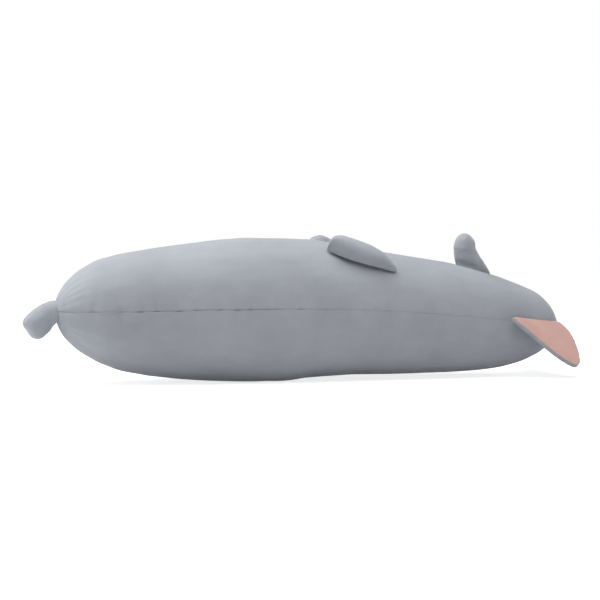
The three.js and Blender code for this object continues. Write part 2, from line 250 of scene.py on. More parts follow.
def blow_up(piece, held, pressure, most):
    """Swells a skin as cloth under pressure, by the given distance at most, with its sewn edge held."""
    scene = bpy.context.scene
    before = points(piece)
    group = piece.vertex_groups.new(name="held")
    for index, weight in enumerate(held):
        group.add([index], float(weight), "REPLACE")
    cloth = piece.modifiers.new("Cloth", "CLOTH")
    cloth.settings.quality = 5
    cloth.settings.use_pressure = True
    cloth.settings.uniform_pressure_force = pressure
    cloth.settings.effector_weights.gravity = 0
    cloth.settings.vertex_group_mass = "held"
    cloth.collision_settings.use_collision = False
    cloth.point_cache.frame_start = 1
    cloth.point_cache.frame_end = CLOTH_FRAMES
    for number in range(1, CLOTH_FRAMES + 1):
        scene.frame_set(number)
    swollen = piece.evaluated_get(bpy.context.evaluated_depsgraph_get())
    step = points(swollen) - before
    length = np.linalg.norm(step, axis=1)
    step *= (np.minimum(length, most) / np.maximum(length, 1e-9))[:, None]
    piece.modifiers.remove(cloth)
    piece.vertex_groups.clear()
    place(piece, before + step)
    scene.frame_set(1)


body = copy_of("body", "body_filling")
close_pit(body, hinges["trunk"], TRUNK_PIT)
close_pit(body, hinges["tail"], TAIL_PIT)
apply(body, "SUBSURF", levels=2, render_levels=2)
apply(body, "REMESH", mode="VOXEL", voxel_size=BODY_VOXEL)
even_out(body, repeat=12)
fit(body, ["belly_panel", "back_panel"], BODY_SLACK, evening=6)
where = points(body)
height = where[:, 2] - np.polyval(seam_line, where[:, 0])
held = SEAM_HOLD * np.exp(-((height / SEAM_HOLD_WIDTH) ** 2))
blow_up(body, held, STUFFING_PRESSURE, BODY_SWELL)
even_out(body, repeat=2)
fit(body, ["belly_panel", "back_panel"], -BODY_PROUD, evening=30)
apply(body, "SUBSURF", levels=1, render_levels=1)

# Seen against its own seam line the seam is level, so flat cuts lay edge loops along it
where = points(body)
where[:, 2] -= np.polyval(seam_line, where[:, 0])
for level in SEAM_LEVELS:
    where[np.abs(where[:, 2] - level) < SEAM_SNAP, 2] = level
place(body, where)
only(body)
bpy.ops.object.mode_set(mode="EDIT")
for level in SEAM_LEVELS:
    bpy.ops.mesh.select_all(action="SELECT")
    bpy.ops.mesh.bisect(plane_co=(0, 0, level), plane_no=(0, 0, 1))
bpy.ops.mesh.select_all(action="SELECT")
bpy.ops.mesh.remove_doubles(threshold=SEAM_MERGE)
bpy.ops.object.mode_set(mode="OBJECT")
where = points(body)
height = where[:, 2].copy()
where[:, 2] += np.polyval(seam_line, where[:, 0])
settled = (where[:, 2] + np.hypot(where[:, 2], FLOOR_SOFTENING)) / 2 - FLOOR_SETTLING
where[:, 2] = np.maximum(settled, 0.0)
place(body, where)

# Groove of the seam, and puckers of uneven spacing and length on both sides of it
level_out = outward(body)
level_out[:, 2] = 0
level_out /= np.maximum(np.linalg.norm(level_out, axis=1), 1e-9)[:, None]
groove = np.exp(-np.abs(height) / SEAM_REACH)
tight = np.interp(where[:, 0], SEAM_PLACES, SEAM_TIGHTNESS)
sunk = SEAM_DEPTH * groove * tight - SEAM_FULLNESS * np.exp(-((height / SEAM_FULL_WIDTH) ** 2))
chance = np.random.default_rng(CLOTH_SEED)
for side in (-1, 1):
    here = np.where(where[:, 1] * side > 0, 1.0, 0.0)
    x, last = PUCKER_ENDS
    while x < last:
        strong = np.interp(x, PUCKER_PLACES, PUCKER_STRENGTH)
        for way in (-1, 1):
            width = chance.uniform(*PUCKER_WIDTH)
            reach = chance.uniform(*PUCKER_LENGTH)
            slant = chance.uniform(-PUCKER_SLANT, PUCKER_SLANT)
            depth = PUCKER_DEPTH * strong * chance.uniform(PUCKER_SHALLOWEST, 1.0)
            up = np.clip(height * way, 0, None)
            across = np.exp(-(((where[:, 0] - x - slant * height) / width) ** 2))
            fade = np.exp(-(((up - PUCKER_DEEPEST_AT * reach) / reach) ** 2))
            sunk += here * (height * way >= 0) * depth * across * fade
        x += PUCKER_SPACING * chance.uniform(*PUCKER_UNEVENNESS)
    for x in CREASE_PLACES:
        bend = CREASE_SWAY * np.sin(height * CREASE_SWAY_RATE + x * CREASE_SWAY_SHIFT)
        across = np.exp(-(((where[:, 0] - x - bend) / CREASE_WIDTH) ** 2))
        down = np.exp(-((height + CREASE_MIDDLE) / CREASE_LENGTH) ** 2)
        sunk += here * CREASE_DEPTH * across * np.clip(-height / CREASE_START, 0, 1) * down
place(body, where - level_out * sunk[:, None])
# Painted shade: the seam's groove is painted darker in the velour's colour, most where the seam is drawn
# tightest
shade = body.data.attributes.new("seam_shade_painted", "FLOAT", "POINT")
shade.data.foreach_set("value", np.clip(groove * tight, 0, 1).astype(np.float32))

# Soft lumps of the filling and faint gathers round the tail, fading out towards the floor
where = points(body)
rise = np.zeros(len(where))
for lump in range(LUMPS):
    spot = where[chance.integers(len(where))]
    reach = chance.uniform(*LUMP_REACH)
    rise += chance.uniform(-1, 1) * LUMP_HEIGHT * np.exp(-(((where - spot) ** 2).sum(axis=1)) / reach**2)
round_tail = np.arctan2(where[:, 2] - hinges["tail"].z, where[:, 1])
drawn = np.exp(-(((where[:, 0] - hinges["tail"].x - GATHER_PLACE) / GATHER_LENGTH) ** 2))
wander = GATHER_WANDER * np.sin(GATHER_WANDERS * round_tail)
rise += GATHER_DEPTH * drawn * np.sin(GATHERS * round_tail + wander)
rise *= np.clip(where[:, 2] / LUMP_FLOOR_FADE, 0, 1)
place(body, where + outward(body) * rise[:, None])

# Sizes and strengths of the marks in the velour's pile, and of the painted shade in the seam
MOTTLE_SCALE = 11.0
MOTTLE_STRENGTH = 0.55
STREAK_SCALE = 60.0
STREAK_STRETCH = (0.45, 1, 1)
STREAK_STRENGTH = 0.30
STREAK_HEIGHT = 0.8
TIP_SCALE = 950.0
TIP_STRENGTH = 0.34
SEAM_SHADE = 0.11
LEAST_ROUGHNESS = 0.80
ROUGHNESS_SPREAD = 0.16


def velour_group():
    """Short pile: broad mottling where the nap lies differently, brushed streaks, speckle of the tips, and
    painted shade in the seam.
    """
    group = bpy.data.node_groups.new("velour_pile", "ShaderNodeTree")
    face = group.interface
    face.new_socket("Colour", in_out="INPUT", socket_type="NodeSocketColor")
    face.new_socket("Mottling", in_out="INPUT", socket_type="NodeSocketFloat")
    face.new_socket("Seam", in_out="INPUT", socket_type="NodeSocketFloat")
    face.new_socket("Colour", in_out="OUTPUT", socket_type="NodeSocketColor")
    face.new_socket("Roughness", in_out="OUTPUT", socket_type="NodeSocketFloat")
    face.new_socket("Height", in_out="OUTPUT", socket_type="NodeSocketFloat")
    nodes, links = group.nodes, group.links
    entry = nodes.new("NodeGroupInput")
    leave = nodes.new("NodeGroupOutput")
    coords = nodes.new("ShaderNodeTexCoord")

    def noise(scale, stretch, detail):
        turn = nodes.new("ShaderNodeMapping")
        turn.inputs["Scale"].default_value = stretch
        texture = nodes.new("ShaderNodeTexNoise")
        texture.inputs["Scale"].default_value = scale
        texture.inputs["Detail"].default_value = detail
        links.new(coords.outputs["Object"], turn.inputs["Vector"])
        links.new(turn.outputs["Vector"], texture.inputs["Vector"])
        return texture.outputs["Fac"]

    def math_node(operation, first, second):
        node = nodes.new("ShaderNodeMath")
        node.operation = operation
        for socket, value in zip(node.inputs, (first, second)):
            if isinstance(value, (int, float)):
                socket.default_value = value
            else:
                links.new(value, socket)
        return node.outputs["Value"]

    broad = noise(MOTTLE_SCALE, (1, 1, 1), detail=3)
    streak = noise(STREAK_SCALE, STREAK_STRETCH, detail=4)
    tips = noise(TIP_SCALE, (1, 1, 1), detail=2)
    soft = math_node("MULTIPLY", math_node("SUBTRACT", broad, 0.5), MOTTLE_STRENGTH)
    brushed = math_node("MULTIPLY", math_node("SUBTRACT", streak, 0.5), STREAK_STRENGTH)
    speckle = math_node("MULTIPLY", math_node("SUBTRACT", tips, 0.5), TIP_STRENGTH)
    nap = math_node("MULTIPLY", math_node("ADD", soft, brushed), entry.outputs["Mottling"])
    lift = math_node("ADD", math_node("ADD", nap, speckle), 1.0)
    # Painted shade: the colour is darkened along the seam's groove
    shaded = math_node("MULTIPLY", entry.outputs["Seam"], SEAM_SHADE)
    value = math_node("MULTIPLY", lift, math_node("SUBTRACT", 1.0, shaded))
    rough = math_node("ADD", math_node("MULTIPLY", streak, ROUGHNESS_SPREAD), LEAST_ROUGHNESS)
    height = math_node("ADD", tips, math_node("MULTIPLY", streak, STREAK_HEIGHT))
    tint = nodes.new("ShaderNodeHueSaturation")
    links.new(entry.outputs["Colour"], tint.inputs["Color"])
    links.new(value, tint.inputs["Value"])
    links.new(tint.outputs["Color"], leave.inputs["Colour"])
    links.new(rough, leave.inputs["Roughness"])
    links.new(height, leave.inputs["Height"])
    return group


velour = velour_group()


def velour_cloth(name, colour, tint, mottling):
    material = bpy.data.materials.new(name)
    material.use_nodes = True
    nodes, links = material.node_tree.nodes, material.node_tree.links
    shader = nodes["Principled BSDF"]
    pile = nodes.new("ShaderNodeGroup")
    pile.node_tree = velour
    pile.inputs["Colour"].default_value = colour
    pile.inputs["Mottling"].default_value = mottling
    # Painted shade: how far into the seam's groove each point lies
    seam_shade_painted = nodes.new("ShaderNodeAttribute")
    seam_shade_painted.attribute_name = "seam_shade_painted"
    bump = nodes.new("ShaderNodeBump")
    bump.inputs["Strength"].default_value = 0.35
    bump.inputs["Distance"].default_value = 0.0008
    links.new(seam_shade_painted.outputs["Fac"], pile.inputs["Seam"])
    links.new(pile.outputs["Colour"], shader.inputs["Base Color"])
    links.new(pile.outputs["Roughness"], shader.inputs["Roughness"])
    links.new(pile.outputs["Height"], bump.inputs["Height"])
    links.new(bump.outputs["Normal"], shader.inputs["Normal"])
    shader.inputs["Specular IOR Level"].default_value = 0.2
    shader.inputs["Sheen Weight"].default_value = 0.35
    shader.inputs["Sheen Roughness"].default_value = 0.5
    shader.inputs["Sheen Tint"].default_value = tint
    return material


grey_velour = velour_cloth("grey_velour", GREY, GREY_SHEEN, GREY_MOTTLING)


def split_off(piece, name, chosen):
    """Cuts the chosen faces off as a piece of their own."""
    only(piece)
    before = set(bpy.data.objects)
    bpy.ops.object.mode_set(mode="EDIT")
    bpy.ops.mesh.select_mode(type="FACE")
    bpy.ops.mesh.select_all(action="DESELECT")
    bpy.ops.object.mode_set(mode="OBJECT")
    for face in piece.data.polygons:
        face.select = bool(chosen[face.index])
    bpy.ops.object.mode_set(mode="EDIT")
    bpy.ops.mesh.separate(type="SELECTED")
    bpy.ops.object.mode_set(mode="OBJECT")
    part = (set(bpy.data.objects) - before).pop()
    part.name = name
    part.data.name = name
    return part


def finish_cloth(piece, material, body_name, nodes):
    piece.data.materials.clear()
    piece.data.materials.append(material)
    only(piece)
    bpy.ops.object.shade_smooth()
    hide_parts(*nodes)
    if body_name:
        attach(piece, body_name)


middles = np.array([face.center for face in body.data.polygons])
belly_cover = split_off(body, "belly_cover", middles[:, 2] > np.polyval(seam_line, middles[:, 0]))
back_cover = body
back_cover.name = "back_cover"
back_cover.data.name = "back_cover"
for cover in (belly_cover, back_cover):
    apply(cover, "SOLIDIFY", thickness=COVER_THICKNESS, offset=-1.0, use_rim=True)
finish_cloth(belly_cover, grey_velour, "torso", ["belly_panel", "body_filling"])
finish_cloth(back_cover, grey_velour, "torso", ["back_panel"])

# The trunk is a short stuffed tube of the same velour, sewn on round its base and leaning towards the belly.
TRUNK_VOXEL = 0.0035
STUB_SLACK = 0.0034
STUB_SWELL = 0.0042
STUB_PROUD = 0.0014
STUB_SEWN = 0.003
STUB_HELD = 0.006
TRUNK_SUNK = 0.008
FACE_OUT = Vector((0.273, 0.0, 0.962))


def cut_base(piece, point, keep_way):
    only(piece)
    bpy.ops.object.mode_set(mode="EDIT")
    bpy.ops.mesh.select_all(action="SELECT")
    bpy.ops.mesh.bisect(plane_co=point, plane_no=keep_way, use_fill=True, clear_inner=True)
    bpy.ops.object.mode_set(mode="OBJECT")


def reach_along(piece, start, way):
    return (points(piece) - np.array(start)) @ np.array(way)


def stuffed_stub(name, filling, panels, base, out, voxel):
    """A firm stub on a flat base: its filling, blown up and fitted just proud of its panels."""
    piece = copy_of(name, filling)
    cut_base(piece, base, out)
    apply(piece, "REMESH", mode="VOXEL", voxel_size=voxel)
    even_out(piece, repeat=6)
    fit(piece, panels, STUB_SLACK, evening=6, still=reach_along(piece, base, out) < STUB_SEWN)
    even_out(piece, repeat=3)
    held = np.clip(1 - reach_along(piece, base, out) / STUB_HELD, 0, 1)
    blow_up(piece, held, STUFFING_PRESSURE, STUB_SWELL)
    even_out(piece, repeat=1)
    fit(piece, panels, -STUB_PROUD, evening=8, still=reach_along(piece, base, out) < STUB_SEWN)
    apply(piece, "SUBSURF", levels=1, render_levels=1)
    return piece


# Edges of the trunk at heights above its root: an upright lobe, and a web that slopes to the face
TRUNK_HEIGHTS = (-0.030, 0.000, 0.008, 0.022, 0.040, 0.052)
TRUNK_FRONT = (-0.026, -0.0262, -0.0285, -0.0318, -0.0319, -0.0292)
TRUNK_BACK = (0.0630, 0.0410, 0.0354, 0.0258, 0.0150, 0.0138)
TRUNK_HALF_WIDTH = (0.018, 0.0195, 0.0210, 0.0228, 0.0230, 0.0214)
TRUNK_SLICE_FROM = 0.008
TRUNK_SLICE_PAST = 0.001
TRUNK_SLICE_STEP = 0.0025
TRUNK_SLICE_HALF = 0.0018
WEB_START = 0.0020
WEB_LENGTH = 0.026
WEB_PINCH = 0.48
WEB_END = 0.034
WEB_END_LENGTH = 0.020
WEB_END_PINCH = 0.45
WEB_END_DROP = 0.006
TUCK_HEIGHT = 0.0032
TUCK_WIDTH = 0.0042
TUCK_DEPTH = 0.0040


def shape_trunk(piece, root):
    """Draws the edges of the stub out to those of the trunk, and tucks it in where it is sewn on."""
    where = points(piece) - np.array(root)
    z = where[:, 2]
    levels = np.arange(z.min() + TRUNK_SLICE_FROM, TRUNK_HEIGHTS[-1] + TRUNK_SLICE_PAST, TRUNK_SLICE_STEP)
    rings = [where[np.abs(z - level) < TRUNK_SLICE_HALF] for level in levels]
    low = [ring[:, 0].min() for ring in rings]
    high = [ring[:, 0].max() for ring in rings]
    half = [np.abs(ring[:, 1]).max() for ring in rings]
    now_low, now_high, now_half = (np.interp(z, levels, edge) for edge in (low, high, half))
    new_low, new_high, new_half = (
        np.interp(z, TRUNK_HEIGHTS, edge) for edge in (TRUNK_FRONT, TRUNK_BACK, TRUNK_HALF_WIDTH)
    )
    share = (where[:, 0] - now_low) / (now_high - now_low)
    where[:, 0] = new_low + share * (new_high - new_low)
    web = np.clip((where[:, 0] - WEB_START) / WEB_LENGTH, 0, 1)
    where[:, 1] *= new_half / now_half * (1 - WEB_PINCH * web * web * (3 - 2 * web))
    rise = where @ np.array(FACE_OUT)
    end = np.clip((where[:, 0] - WEB_END) / WEB_END_LENGTH, 0, 1)
    where[:, 1] *= 1 - WEB_END_PINCH * end
    where[:, 2] -= WEB_END_DROP * end * end
    tuck = np.exp(-(((rise - TUCK_HEIGHT) / TUCK_WIDTH) ** 2)) * (1 - web)
    where[:, 1] -= np.sign(where[:, 1]) * np.minimum(TUCK_DEPTH * tuck, np.abs(where[:, 1]))
    place(piece, where + np.array(root))


trunk_root = hinges["trunk"]
trunk_base = trunk_root - FACE_OUT * TRUNK_SUNK
trunk_panels = ["trunk_right_panel", "trunk_left_panel"]
trunk = stuffed_stub("trunk", "trunk_filling", trunk_panels, trunk_base, FACE_OUT, TRUNK_VOXEL)
shape_trunk(trunk, trunk_root)
even_out(trunk, repeat=4)
finish_cloth(trunk, grey_velour, None, trunk_panels + ["trunk_filling"])
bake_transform(trunk)

# The tail is a short blunt stub, stuffed firm, sewn on where the two side seams meet.
# It droops a little and springs back when it is pushed.
TAIL_VOXEL = 0.0032
TAIL_OUT = Vector((-1.0, 0.0, 0.0))
TAIL_SUNK = 0.009
# Outline of the tail from the side, about its root
TAIL_MIDDLE = (-0.028, -0.009)
TAIL_PATTERN = [
    (0.012, 0.025), (0.001, 0.0282), (-0.009, 0.0286), (-0.0264, 0.0208), (-0.0456, 0.0081),
    (-0.0620, -0.0066), (-0.0642, -0.0169), (-0.0604, -0.0252), (-0.0466, -0.0446), (-0.0363, -0.0482),
    (-0.026, -0.0462), (-0.0118, -0.0345), (-0.0021, -0.0207), (0.0043, -0.0110), (0.012, -0.006),
]
PATTERN_SLICES = 48
PATTERN_STEP = 0.05


def to_pattern(flat, outline, middle):
    """Spreads flat points from the middle until their outer edge has the given outline."""
    corners = np.array(outline) - middle
    after = np.roll(corners, -1, axis=0)
    border = np.concatenate([corners + (after - corners) * share for share in np.arange(0, 1, PATTERN_STEP)])
    turn = np.arctan2(border[:, 1], border[:, 0])
    order = np.argsort(turn)
    whole = 2 * np.pi
    spread = flat - middle
    angle, far = np.arctan2(spread[:, 1], spread[:, 0]), np.linalg.norm(spread, axis=1)
    slices = np.linspace(-np.pi, np.pi, PATTERN_SLICES + 1)
    slot = np.clip(np.digitize(angle, slices) - 1, 0, PATTERN_SLICES - 1)
    reach = np.array([far[slot == number].max() for number in range(PATTERN_SLICES)])
    now = np.interp(angle, (slices[:-1] + slices[1:]) / 2, reach, period=whole)
    wanted = np.interp(angle, turn[order], np.linalg.norm(border, axis=1)[order], period=whole)
    return middle + spread * (wanted / now)[:, None]


tail_root = hinges["tail"]
tail_base = tail_root - TAIL_OUT * TAIL_SUNK
tail_panels = ["tail_right_panel", "tail_left_panel"]
tail = stuffed_stub("tail", "tail_filling", tail_panels, tail_base, TAIL_OUT, TAIL_VOXEL)
where = points(tail) - np.array(tail_root)
where[:, (0, 2)] = to_pattern(where[:, (0, 2)], TAIL_PATTERN, np.array(TAIL_MIDDLE))
place(tail, where + np.array(tail_root))
even_out(tail, repeat=9)
finish_cloth(tail, grey_velour, None, tail_panels + ["tail_filling"])
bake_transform(tail)

# The arms are stuffed paddles of the same velour that lie on the belly, each sewn on at the shoulder.
# An upper and an under panel meet in a seam round the edge, and the under side lies close to the belly.
ARM_VOXEL = 0.0035
ARM_SLACK = 0.0030
ARM_SWELL = 0.0038
ARM_PROUD = 0.0012
ARM_GAP = 0.0006
ARM_SHOULDER_HOLD = 0.010
ARM_SEWN_IN = 0.0045
ARM_SEWN_FROM = 0.004
ARM_SEWN_LENGTH = 0.012
ARM_TAPER_FROM = 0.002
ARM_TAPER = 0.050
ARM_FLANK = 0.020
ARM_FLANK_THINNING = 0.4
ARM_ROOT_SHARE = 0.48
ARM_ROOT_NARROWING = 0.12
ARM_MOST_WIDENING = 0.1
ARM_LEAST_EDGE = 0.004
ARM_SQUARENESS = 2.5
ARM_BLUNTNESS = {"left": 0.0125, "right": 0.0}
ARM_EDGE_HEIGHT = 0.25
ARM_SLICE_STEP = 0.005
ARM_SLICE_HALF = 0.004
HAND_START = 0.085
HAND_LENGTH = 0.055
HAND_HEIGHT = 0.040
BELLY_REACH = 0.12
CLEARING_REACH = 0.03
# The outer edge of an arm from its middle line, and its fullness, at places along it from the shoulder
ARM_PLACES = (-0.010, 0.000, 0.010, 0.027, 0.050, 0.073, 0.098, 0.112, 0.122, 0.131, 0.138, 0.148)
ARM_OUTER_EDGE = (
    0.004, 0.006, 0.0080, 0.0115, 0.0165, 0.0204, 0.0218, 0.0197, 0.0152, 0.0088, 0.0040, 0.0020,
)
ARM_FULLNESS = {
    "left": (1.0, 1.0, 1.0, 1.0, 1.03, 1.04, 0.94, 0.88, 0.86, 0.86, 0.86, 0.86),
    "right": (1.0, 1.0, 1.0, 1.0, 1.0, 1.0, 1.0, 1.0, 1.0, 1.0, 1.0, 1.0),
}


def keep_clear(piece, cover, gap):
    """Lifts what has sunk into the cover back out of it."""
    where = points(piece)
    tree = BVHTree.FromObject(cover, bpy.context.evaluated_depsgraph_get())
    for index, point in enumerate(where):
        near, normal, _, _ = tree.find_nearest(Vector(point), CLEARING_REACH)
        if near is not None:
            inside = gap - (Vector(point) - near).dot(normal)
            if inside > 0:
                where[index] = point + np.array(normal) * inside
    place(piece, where)


def joint_axis(name):
    return next(Vector(entry["axis"]) for entry in frame["joints"] if entry["child"] == name)


def lay_on(piece, cover, shoulder, hand_way, inward, bluntness, fullness):
    """Settles a stuffed pad on the cover below it, thin at the shoulder and plump at the hand."""
    tree = BVHTree.FromObject(cover, bpy.context.evaluated_depsgraph_get())
    where = points(piece)
    found = [tree.find_nearest(Vector(point), BELLY_REACH) for point in where]
    near = np.array([spot[0] for spot in found])
    normal = np.array([spot[1] for spot in found])
    height = ((where - near) * normal).sum(axis=1)
    across = np.cross(normal, np.array(hand_way)) * inward
    across /= np.linalg.norm(across, axis=1)[:, None]
    along = (where - np.array(shoulder)) @ np.array(hand_way)
    sideways = ((where - np.array(shoulder)) * across).sum(axis=1)
    levels = np.arange(along.min() + ARM_SLICE_HALF, along.max() - ARM_SLICE_HALF / 2, ARM_SLICE_STEP)
    rings = [np.abs(along - level) < ARM_SLICE_HALF for level in levels]
    top = np.maximum(np.interp(along, levels, [height[ring].max() for ring in rings]), height)
    outer = np.interp(along, levels, [-sideways[ring].min() for ring in rings])
    share = np.clip((along + ARM_TAPER_FROM) / ARM_TAPER, 0, 1)
    full = share * share * (3 - 2 * share)
    inner = np.clip(sideways / ARM_FLANK, 0, 1)
    flank = 1 - ARM_FLANK_THINNING * (1 - full) * inner * inner
    above, below = np.clip(2 * height / top - 1, 0, 1), np.clip(2 * height / top - 1, -1, 0)
    crown = (1 - (1 - above**2) ** (ARM_SQUARENESS / 2)) ** (1 / ARM_SQUARENESS)
    dome = ARM_EDGE_HEIGHT * (1 + below) + (1 - ARM_EDGE_HEIGHT) * crown
    thick = top * (ARM_ROOT_SHARE + (1 - ARM_ROOT_SHARE) * full) * np.interp(along, ARM_PLACES, fullness)
    lain = ARM_GAP + (thick - ARM_GAP) * dome * flank
    narrower = np.interp(along, ARM_PLACES, ARM_OUTER_EDGE) / np.maximum(outer, ARM_LEAST_EDGE) - 1
    moved = np.where(sideways > 0, -ARM_ROOT_NARROWING * (1 - full), np.minimum(narrower, ARM_MOST_WIDENING))
    hand = bluntness * np.clip((along - HAND_START) / HAND_LENGTH, 0, 1) * np.clip(height / HAND_HEIGHT, 0, 1)
    settled = where + normal * (lain - height)[:, None] + across * (sideways * moved)[:, None]
    place(piece, settled + np.outer(hand, np.array(hand_way)))


for side in ("left", "right"):
    nodes = [f"{side}_arm_upper_panel", f"{side}_arm_under_panel", f"{side}_arm_filling"]
    arm = copy_of(f"{side}_arm", nodes[-1])
    apply(arm, "REMESH", mode="VOXEL", voxel_size=ARM_VOXEL)
    even_out(arm, repeat=4)
    fit(arm, nodes[:2], ARM_SLACK, evening=6)
    even_out(arm, repeat=2)
    shoulder = hinges[f"{side}_arm"]
    middle = Vector(points(arm).mean(axis=0))
    hand_way = (middle - shoulder).normalized()
    held = np.clip(1 - reach_along(arm, shoulder, hand_way) / ARM_SHOULDER_HOLD, 0, 1)
    blow_up(arm, held, STUFFING_PRESSURE, ARM_SWELL)
    even_out(arm, repeat=1)
    fit(arm, nodes[:2], -ARM_PROUD, evening=8)
    apply(arm, "SUBSURF", levels=1, render_levels=1)
    inward = -1 if side == "left" else 1
    lay_on(arm, belly_cover, shoulder, hand_way, inward, ARM_BLUNTNESS[side], ARM_FULLNESS[side])
    even_out(arm, repeat=8)
    keep_clear(arm, belly_cover, ARM_GAP)
    out = joint_axis(f"{side}_arm").cross(hand_way).normalized()
    if out.z < 0:
        out = -out
    root = reach_along(arm, shoulder, hand_way)
    sewn = np.clip(1 - (root + ARM_SEWN_FROM) / ARM_SEWN_LENGTH, 0, 1)
    place(arm, points(arm) - np.outer(ARM_SEWN_IN * sewn, np.array(out)))
    finish_cloth(arm, grey_velour, None, nodes)
    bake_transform(arm)

# Each ear is a lightly padded flap: dusty pink velour inside, grey outside, sewn together round the edge.
# Its straight side is caught in the side seam of the head, so it lifts and drops about that line.
EAR_VOXEL = 0.0019
EAR_SLACK = 0.0010
EAR_SWELL = 0.0014
EAR_PROUD = 0.0012
EAR_CLOTH = 0.0016
EAR_PRESSURE = 2.0
EAR_ROOT_HOLD = 0.006
EAR_EDGE = 0.0042
ROOT_RAISED = 0.006
ROOT_TUCKED = 0.003
ROOT_HALF_LENGTH = 0.066
ROOT_REACH = 0.022
EAR_REAR_LONGER = 0.012
EAR_REAR_START = 0.010
EAR_REAR_LENGTH = 0.050
EAR_REAR_REACH = 0.040
EAR_FRONT_FULLER = 0.0030
EAR_FRONT_START = 0.020
EAR_FRONT_LENGTH = 0.055
EAR_FRONT_MIDDLE = 0.030
EAR_FRONT_REACH = 0.040
EAR_TIP_ROUNDER = 0.005
EAR_TIP_START = 0.080
EAR_TIP_LENGTH = 0.030
PINK = (0.670, 0.405, 0.362, 1.0)
PINK_SHEEN = (1.0, 0.86, 0.84, 1.0)
PINK_MOTTLING = 0.45
pink_velour = velour_cloth("pink_velour", PINK, PINK_SHEEN, PINK_MOTTLING)

for side in ("left", "right"):
    name = f"{side}_ear"
    lining, back, wadding = (f"{name}_{layer}" for layer in ("lining", "back", "wadding"))
    ear = copy_of(name, lining, back, wadding)
    apply(ear, "SUBSURF", levels=2, render_levels=2)
    apply(ear, "REMESH", mode="VOXEL", voxel_size=EAR_VOXEL)
    even_out(ear, repeat=4)
    fit(ear, [lining, back], EAR_SLACK, evening=5)
    even_out(ear, repeat=1)
    flat = copy_of("flat", wadding)
    spread = points(flat)
    bpy.data.objects.remove(flat)
    centre = spread.mean(axis=0)
    facing = np.linalg.svd(spread - centre)[2][2]
    between = sum(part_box(lining), Vector()) - sum(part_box(back), Vector())
    if Vector(facing).dot(between) < 0:
        facing = -facing
    hinge = hinges[name]
    reach_way = joint_axis(name).cross(Vector(facing)).normalized()
    if (Vector(centre) - hinge).dot(reach_way) < 0:
        reach_way = -reach_way
    held = np.clip(1 - reach_along(ear, hinge, reach_way) / EAR_ROOT_HOLD, 0, 1)
    blow_up(ear, held, EAR_PRESSURE, EAR_SWELL)
    even_out(ear, repeat=1)
    fit(ear, [lining, back], -EAR_PROUD, evening=7)
    apply(ear, "SUBSURF", levels=1, render_levels=1)
    edge = centre + facing * EAR_EDGE
    only(ear)
    bpy.ops.object.mode_set(mode="EDIT")
    bpy.ops.mesh.select_all(action="SELECT")
    bpy.ops.mesh.bisect(plane_co=edge, plane_no=facing)
    bpy.ops.object.mode_set(mode="OBJECT")
    middles = np.array([face.center for face in ear.data.polygons])
    over = (middles - edge) @ facing > 0
    where = points(ear) - np.array(hinge)
    rear_way = np.array(joint_axis(name).normalized()) * -np.sign(hinge.y)
    out, rear = where @ np.array(reach_way), where @ rear_way
    beyond = np.clip(out, 0, None)
    arch = np.clip(1 - (rear / ROOT_HALF_LENGTH) ** 2, 0, 1) * np.exp(-((beyond / ROOT_REACH) ** 2))
    where[:, 2] += ROOT_RAISED * arch
    where[:, 1] -= np.sign(hinge.y) * ROOT_TUCKED * arch
    longer = np.clip((rear - EAR_REAR_START) / EAR_REAR_LENGTH, 0, 1) ** 2
    longer *= np.exp(-((beyond / EAR_REAR_REACH) ** 2))
    fuller = np.clip((-rear - EAR_FRONT_START) / EAR_FRONT_LENGTH, 0, 1) ** 2
    fuller *= np.exp(-(((out - EAR_FRONT_MIDDLE) / EAR_FRONT_REACH) ** 2))
    rounder = np.clip((out - EAR_TIP_START) / EAR_TIP_LENGTH, 0, 1) ** 2
    where += np.outer(EAR_REAR_LONGER * longer, rear_way) + np.outer(EAR_FRONT_FULLER * fuller, facing)
    where -= np.outer(EAR_TIP_ROUNDER * rounder, reach_way)
    place(ear, where + np.array(hinge))
    ear_lining = split_off(ear, f"{name}_lining_cloth", over)
    ear_back = ear
    ear_back.name = f"{name}_back_cloth"
    ear_back.data.name = ear_back.name
    for cloth in (ear_lining, ear_back):
        apply(cloth, "SOLIDIFY", thickness=EAR_CLOTH, offset=-1.0, use_rim=True)
    finish_cloth(ear_lining, pink_velour, None, [lining, wadding])
    finish_cloth(ear_back, grey_velour, None, [back])
    for cloth in (ear_lining, ear_back):
        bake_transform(cloth)

# The pillow lies on plain white paper under a broad softbox, with a weak lamp at each end.
# Near it the paper shows its shadow, and farther off it is as white as the backdrop. The paper also glows
# faintly, a painted bounce light on the pillow's underside.
FLOOR_SIZE = 14.0
FLOOR_BELOW = 0.0002
PAPER_COLOUR = (0.80, 0.80, 0.80, 1.0)
FILL_COLOUR = (0.97, 0.98, 1.0, 1.0)
FILL_STRENGTH = 0.02
SOFTBOX_PLACE = (-0.4, -0.2, 2.5)
SOFTBOX_LENGTH = 4.6
SOFTBOX_WIDTH = 1.4
SOFTBOX_POWER = 106.0
SOFTBOX_AIM = Vector((0, 0, 0.15))
END_LIGHT_SIZE = 1.6
END_LIGHTS = (
    ("tail_light", (-3.0, 0.4, 0.8), Vector((-0.3, 0, 0.15)), 34.0),
    ("head_light", (3.0, 0.2, 0.9), Vector((0.55, 0, 0.15)), 14.0),
)
TARGET = Vector((0.0695, 0.0, 0.1585))
CAMERA_WAY = Vector((0.2587, 0.9653, -0.0349))
CAMERA_DISTANCE = 3.4
CAMERA_LENS = 102.0

